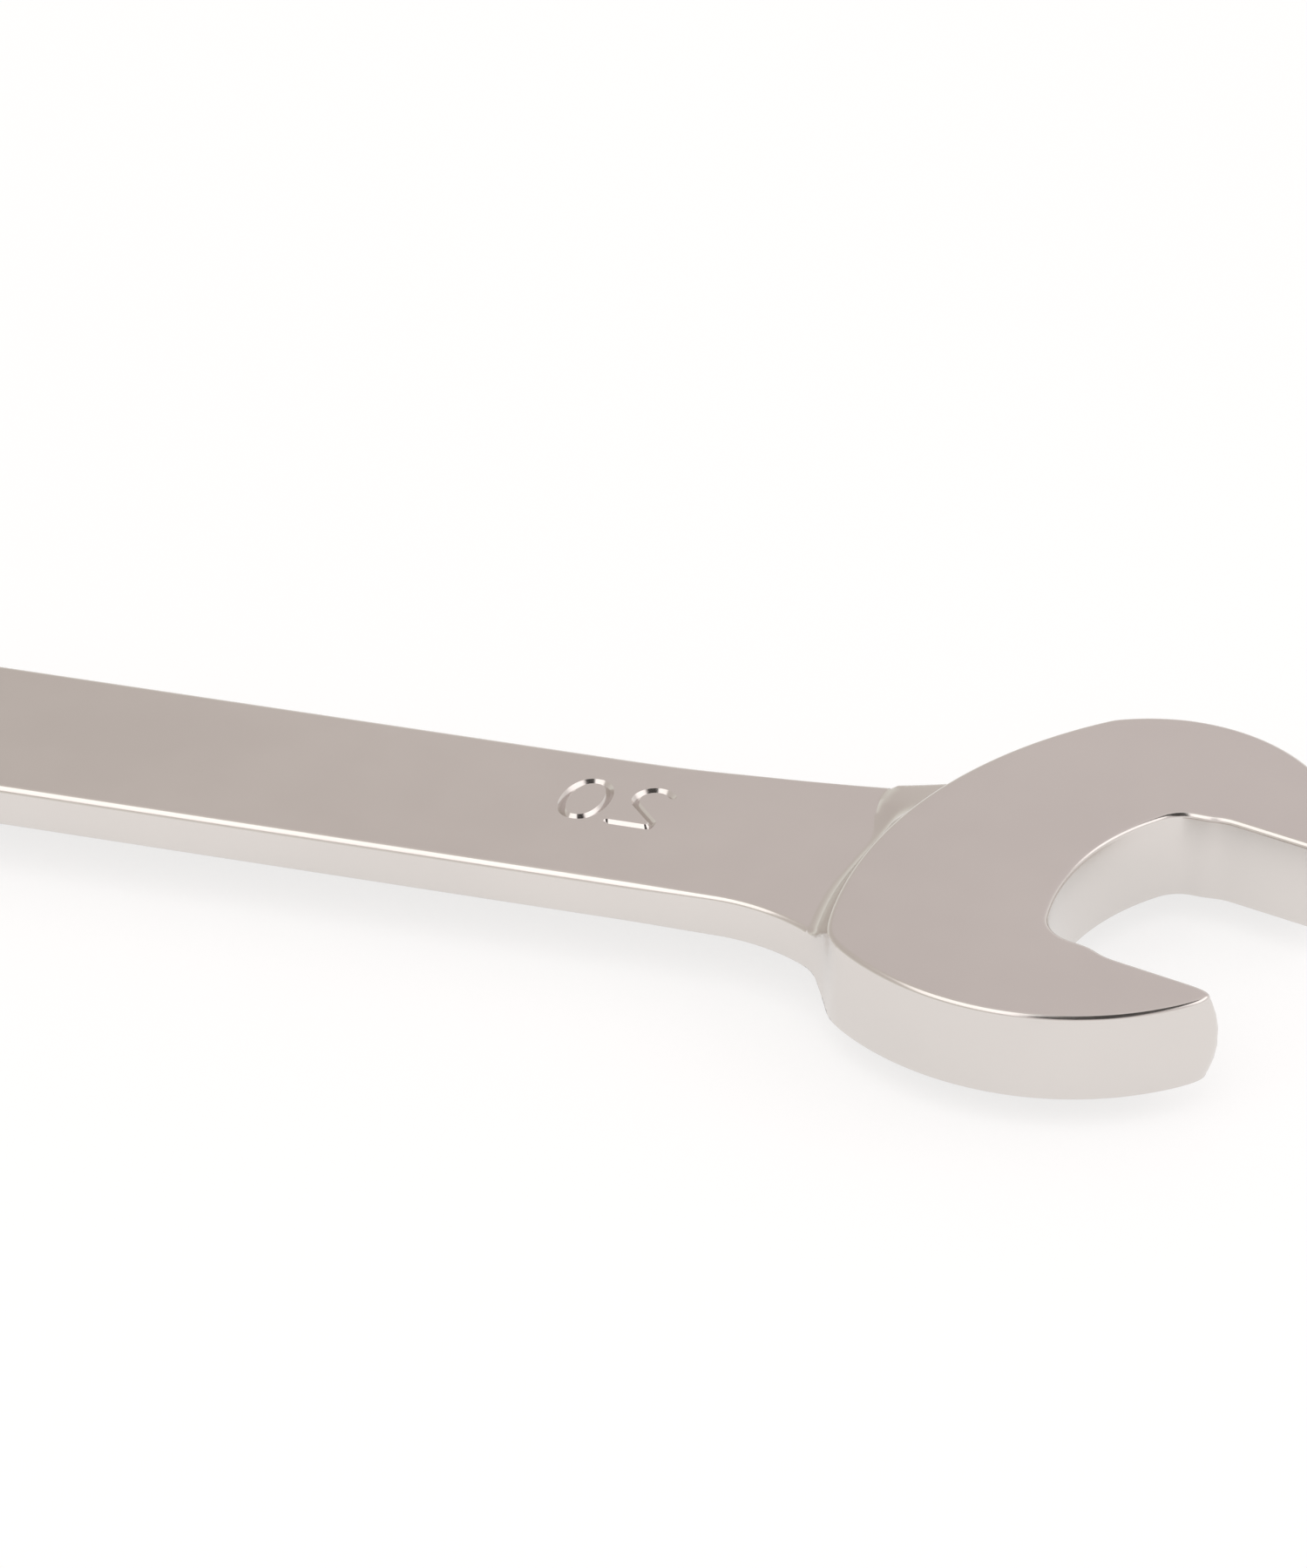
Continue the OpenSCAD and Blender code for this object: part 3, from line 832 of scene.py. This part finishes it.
# ---- the lever ----
LEVER_BASE = 6.35
LEVER_TOP = 8.15
LEVER_BASE_R, LEVER_TOP_R = 0.2, 0.55
DISC_R = 5.5
TAB_REACH = 11.8
TAB_R = 3.2
LEVER_STEP = 0.25
LEVER_SIDES = 96
STEM = [(3.2, -5.95), (3.5, -5.65), (3.5, -5.6), (2.6, -5.6), (2.6, -4.9), (3.5, -4.9), (3.5, 4.4),
        (2.6, 4.4), (2.6, 5.5), (3.5, 5.5), (3.5, 6.6)]
BUTTON = [(4.3, 7.5), (4.3, 8.3), (4.2, 8.44), (4.0, 8.52)]
BUTTON_DISH = [(1.5, 8.1), (1.9, 8.25), (2.3, 8.9)]
RIBS = 5
RIB_FIRST, RIB_PITCH = 12.3, 1.4
RIB_HALF_W, RIB_HALF_L = 0.36, 2.4
RIB_LOW, RIB_TOP = 7.6, 8.62
TUNNEL_R, TUNNEL_BACK, TUNNEL_END = 1.3, -6.0, 2.0
TUNNEL_SIDES = 32


def lever_outline():
    """The disc round the stem and the round end of the tab, with straight sides that touch both."""
    lean = math.degrees(math.acos((DISC_R - TAB_R) / TAB_REACH))
    way = np.array([math.cos(math.radians(lean)), -math.sin(math.radians(lean))])
    side = line(DISC_R * way, [TAB_REACH + TAB_R * way[0], TAB_R * way[1]], 0.5)
    return chained(arc([TAB_REACH, 0], TAB_R, -lean, lean, LEVER_STEP),
                   arc([0, 0], DISC_R, lean, 360 - lean, LEVER_STEP),
                   side[1:-1])


def turned(verts, angle, x):
    c, s = math.cos(math.radians(angle)), math.sin(math.radians(angle))
    return [(x + c * v[0] - s * v[1], s * v[0] + c * v[1], v[2]) for v in verts]


def plate(outline, low, high, r_low, r_high):
    """A plate with rounded edges: the outline is drawn in at each level of the two roundings."""
    normals = outward(outline)
    turns = np.radians(np.linspace(0, 90, 7))
    levels = [(r_low * (1 - math.sin(t)), low + r_low * (1 - math.cos(t))) for t in turns]
    levels += [(r_high * (1 - math.cos(t)), high - r_high * (1 - math.sin(t))) for t in turns]
    return stacked([np.c_[outline - normals * inset, np.full(len(outline), z)]
                    for inset, z in levels])


def rib(x):
    corners = [(-1, -1), (1, -1), (1, 1), (-1, 1)]
    box = np.array([(x + i * RIB_HALF_W, j * RIB_HALF_L) for i, j in corners])
    outline = softened(resampled(box, 0.24), (x, -RIB_HALF_L), 0.9, 3)
    return plate(outline, RIB_LOW, RIB_TOP, 0.05, 0.25)


def reversing_lever():
    """The ribbed tab and its stem, with the tunnel for the plunger across the stem."""
    outline = resampled(lever_outline(), LOOP_STEP)
    tab = plate(outline, LEVER_BASE, LEVER_TOP, LEVER_BASE_R, LEVER_TOP_R)
    obj = mesh_object("reversing_lever_tab", *tab)
    joined(obj, lathe(STEM, 0, LEVER_SIDES))
    joined(obj, lathe(BUTTON, 0, LEVER_SIDES))
    cut(obj, lathe(BUTTON_DISH, 0, LEVER_SIDES))
    for k in range(RIBS):
        joined(obj, rib(RIB_FIRST - RIB_PITCH * k))
    t = np.linspace(0, 2 * math.pi, TUNNEL_SIDES, endpoint=False)
    cut(obj, stacked([np.c_[np.full(TUNNEL_SIDES, x), TUNNEL_R * np.cos(t), TUNNEL_R * np.sin(t)]
                      for x in (TUNNEL_BACK, TUNNEL_END)]))
    for v in obj.data.vertices:
        v.co = Vector(turned([v.co], LEVER_REST, LEVER_X * MM)[0])
    return finished(smoothed(obj, 35), "lever", "reversing_lever", LEVER_CHROME)


# ---- snap rings ----
SNAP_EDGE_R = 0.18
SNAP_POINTS = 120


def snap_ring(name, x, r_in, r_out, low, high, gap, gap_at, body, node):
    """A flat spring ring with a gap. Its long edges are rounded and its ends are square."""
    edge_r = min(SNAP_EDGE_R, (high - low) / 3)
    mid, half = (r_in + r_out) / 2, (r_out - r_in) / 2
    section = []
    for cx, cz, first in ((half, high, 0), (-half, high, 90), (-half, low, 180), (half, low, 270)):
        inward = -edge_r if cz == high else edge_r
        for a in np.radians(np.linspace(first, first + 90, 4)):
            section.append((cx - math.copysign(edge_r, cx) + edge_r * math.cos(a),
                            cz + inward + edge_r * math.sin(a)))
    section = np.array(section)
    rings = []
    for a in np.linspace(gap_at + gap / 2, gap_at + 360 - gap / 2, SNAP_POINTS):
        c, s = math.cos(math.radians(a)), math.sin(math.radians(a))
        r = mid + section[:, 0]
        rings.append(np.c_[x + r * c, r * s, section[:, 1]])
    verts, faces = stacked(rings)
    obj = mesh_object(name, verts, flipped(faces))
    return finished(smoothed(obj, 35), body, node, SPRING_STEEL)


# ---- the plunger's spring ----
SPRING_BACK, SPRING_FRONT = -2.0, 4.7
COIL_R, WIRE_R = 0.68, 0.17
COIL_TURNS, CLOSED_TURNS, CLOSED_PITCH = 6.0, 0.9, 0.36
COIL_POINTS, WIRE_ANGLE = 145, 30


def plunger_spring():
    """A coil spring with closed ends, turned with the lever to its rest angle."""
    rise = SPRING_FRONT - SPRING_BACK - 2 * WIRE_R
    closed = CLOSED_TURNS * CLOSED_PITCH
    turn_at = (0, CLOSED_TURNS, COIL_TURNS - CLOSED_TURNS, COIL_TURNS)
    rise_at = (0, closed, rise - closed, rise)
    around = np.radians(np.arange(0, 360, WIRE_ANGLE))
    rings = []
    for turn in np.linspace(0, COIL_TURNS, COIL_POINTS):
        up = SPRING_BACK + WIRE_R + np.interp(turn, turn_at, rise_at)
        c, s = math.cos(2 * math.pi * turn), math.sin(2 * math.pi * turn)
        r = COIL_R + WIRE_R * np.cos(around)
        rings.append(np.c_[-(up + WIRE_R * np.sin(around)), r * s, r * c])
    verts, faces = stacked(rings)
    obj = mesh_object("plunger_spring_coil", turned(verts, LEVER_REST, LEVER_X), flipped(faces))
    finished(smoothed(obj, 50), "lever", "plunger_spring", SPRING_STEEL)
    ends = turned([(-SPRING_BACK, 0, 0), (-SPRING_FRONT, 0, 0)], LEVER_REST, LEVER_X)
    back, front = (Vector(p) for p in ends)
    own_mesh(obj)


# ---- the stage, in metres ----
WHITE = (1, 1, 1)
FLOOR_HALF, FLOOR_MIDDLE_X = 6.0, 0.15
FLOOR_CELLS, FLAG_CELLS = 24, 12
FLOOR_GREY, FLOOR_GREYS = 0.37, (0.365, 0.375)
FLOOR_GLOW = 0.64
FLAG_NEAR, FLAG_FAR = np.array([-1.0, 0.6]), np.array([0.33, 1.15])
FLAG_X = (0.22, 0.98)
CLOTH, CLOTH_PALE = (0.02, 0.018, 0.016), (0.03, 0.026, 0.024)
SKY_LOWEST, SKY_HIGHEST = (1.0, 0.99, 0.98), (0.86, 0.82, 0.80)
SKY_BETWEEN = ((0.20, (0.93, 0.90, 0.88)), (0.42, (0.77, 0.71, 0.70)),
               (0.60, (0.735, 0.675, 0.67)), (0.80, (0.78, 0.72, 0.71)))
SKY_LEFT_AT, SKY_LEFT, SKY_RIGHT_AT = 0.18, (0.88, 0.885, 0.845), 0.38
LENS, SENSOR = 155.7, 36
CLIP = (0.01, 20)
CAMERA_PLACE = (0.32832, -0.40867, 0.29082)
CAMERA_DOWN, CAMERA_YAW = 34, -15.008


def softbox(name, place, aim, size, power):
    data = bpy.data.lights.new(name, "AREA")
    data.shape, data.size, data.size_y = "RECTANGLE", size[0], size[1]
    data.energy, data.color = power, WHITE
    obj = bpy.data.objects.new(name, data)
    bpy.context.scene.collection.objects.link(obj)
    obj.location = place
    obj.rotation_euler = (Vector(aim) - Vector(place)).to_track_quat("-Z", "Y").to_euler()


def sheet(name, xs, rows, material):
    """A flat stage object through the rows, each a (y, z) pair, with its columns at the xs."""
    n = len(xs)
    verts = [(x, y, z) for y, z in rows for x in xs]
    faces = [(j * n + i, j * n + i + 1, (j + 1) * n + i + 1, (j + 1) * n + i)
             for j in range(len(rows) - 1) for i in range(n - 1)]
    mesh = bpy.data.meshes.new(name)
    mesh.from_pydata(verts, [], faces)
    mesh.materials.append(material)
    obj = bpy.data.objects.new(name, mesh)
    bpy.context.scene.collection.objects.link(obj)
    return obj


def floor():
    """A pale floor under the wrench that glows, so that shadows on it stay light."""
    grey, low, high = ((g, g, g) for g in (FLOOR_GREY, *FLOOR_GREYS))
    material, tree, main = shader("pale_floor", grey, 0.0, 0.8)
    tree.links.new(blended(tree, noise(tree, 3, 2), low, high), main.inputs["Base Color"])
    main.inputs["Specular IOR Level"].default_value = 0.1
    main.inputs["Emission Color"].default_value = (*WHITE, 1)
    main.inputs["Emission Strength"].default_value = FLOOR_GLOW
    ys = np.linspace(-FLOOR_HALF, FLOOR_HALF, FLOOR_CELLS + 1)
    sheet("floor", ys + FLOOR_MIDDLE_X, [(y, CAD_BOX[0].z) for y in ys], material)


def flag():
    """A dark board over the head that only reflections show: it draws the head's near edge dark.

    It neither lights nor shades. From behind and above, the flat tops mirror it as well.
    """
    material, tree, main = shader("black_cloth", CLOTH, 0.0, 0.9)
    tree.links.new(blended(tree, noise(tree, 30, 2), CLOTH, CLOTH_PALE), main.inputs["Base Color"])
    shares = np.linspace(0, 1, FLAG_CELLS + 1)
    rows = [FLAG_NEAR + (FLAG_FAR - FLAG_NEAR) * t for t in shares]
    obj = sheet("flag", np.linspace(*FLAG_X, FLAG_CELLS + 1), rows, material)
    obj.visible_camera = obj.visible_shadow = obj.visible_diffuse = False


def world():
    """A pale sky that is darker at mid height and on the left, made of two ramps multiplied."""
    sky = bpy.data.worlds.new("studio")
    bpy.context.scene.world = sky
    sky.use_nodes = True
    tree = sky.node_tree
    back = tree.nodes["Background"]
    place = tree.nodes.new("ShaderNodeTexCoord")
    split = tree.nodes.new("ShaderNodeSeparateXYZ")
    ramp = tree.nodes.new("ShaderNodeValToRGB")
    tree.links.new(place.outputs["Generated"], split.inputs["Vector"])
    tree.links.new(split.outputs["Z"], ramp.inputs["Fac"])
    side = tree.nodes.new("ShaderNodeValToRGB")
    shift = tree.nodes.new("ShaderNodeMath")
    shift.operation = "ADD"
    shift.inputs[1].default_value = 0.5
    tree.links.new(split.outputs["X"], shift.inputs[0])
    tree.links.new(shift.outputs["Value"], side.inputs["Fac"])
    left, right = side.color_ramp.elements
    left.position, left.color = SKY_LEFT_AT, (*SKY_LEFT, 1)
    right.position, right.color = SKY_RIGHT_AT, (*WHITE, 1)
    both = tree.nodes.new("ShaderNodeMix")
    both.data_type, both.blend_type = "RGBA", "MULTIPLY"
    factor, first, second, result = both.inputs[0], both.inputs[6], both.inputs[7], both.outputs[2]
    factor.default_value = 1.0
    tree.links.new(ramp.outputs["Color"], first)
    tree.links.new(side.outputs["Color"], second)
    tree.links.new(result, back.inputs["Color"])
    stops = ramp.color_ramp.elements
    stops[0].position, stops[0].color = 0.0, (*SKY_LOWEST, 1)
    stops[1].position, stops[1].color = 1.0, (*SKY_HIGHEST, 1)
    for height, colour in SKY_BETWEEN:
        stops.new(height).color = (*colour, 1)
    back.inputs["Strength"].default_value = 1.0


def camera():
    data = bpy.data.cameras.new("camera")
    data.lens, data.sensor_width, data.sensor_fit = LENS, SENSOR, "AUTO"
    data.clip_start, data.clip_end = CLIP
    obj = bpy.data.objects.new("camera", data)
    bpy.context.scene.collection.objects.link(obj)
    down, yaw = math.radians(CAMERA_DOWN), math.radians(CAMERA_YAW)
    obj.location = CAMERA_PLACE
    level = math.cos(down)
    way = Vector((math.sin(yaw) * level, math.cos(yaw) * level, -math.sin(down)))
    obj.rotation_euler = way.to_track_quat("-Z", "Y").to_euler()
    bpy.context.scene.camera = obj


camera()
world()
floor()
softbox("overhead", (-0.1, -0.75, 1.5), (0.1, 0, 0), (1.7, 2.0), 9)
softbox("right", (1.42, 0.2, 0.93), (0.22, 0, 0), (1.35, 0.75), 2.6)
flag()

wrench_body()
ratchet_gear()
reversing_lever()
snap_ring("gear_retaining_snap", 0, 14.15, 15.75, -4.35, -3.4, 24, 180,
          "handle", "gear_retaining_ring")
snap_ring("lever_clip_snap", LEVER_X, 2.65, 4.7, -5.55, -4.95, 60, LEVER_REST,
          "lever", "lever_clip")
plunger_spring()
cad_looks = {"gear_drag_ring": RUBBER, "lever_seal": RUBBER, "thrust_washer": LEVER_CHROME,
             "pawl": HARD_STEEL, "pawl_pin": HARD_STEEL, "plunger": HARD_STEEL}
for node, material in cad_looks.items():
    mesh = frame["nodes"][node].data
    mesh.materials.clear()
    mesh.materials.append(material)

bpy.context.scene.view_settings.view_transform = "Standard"
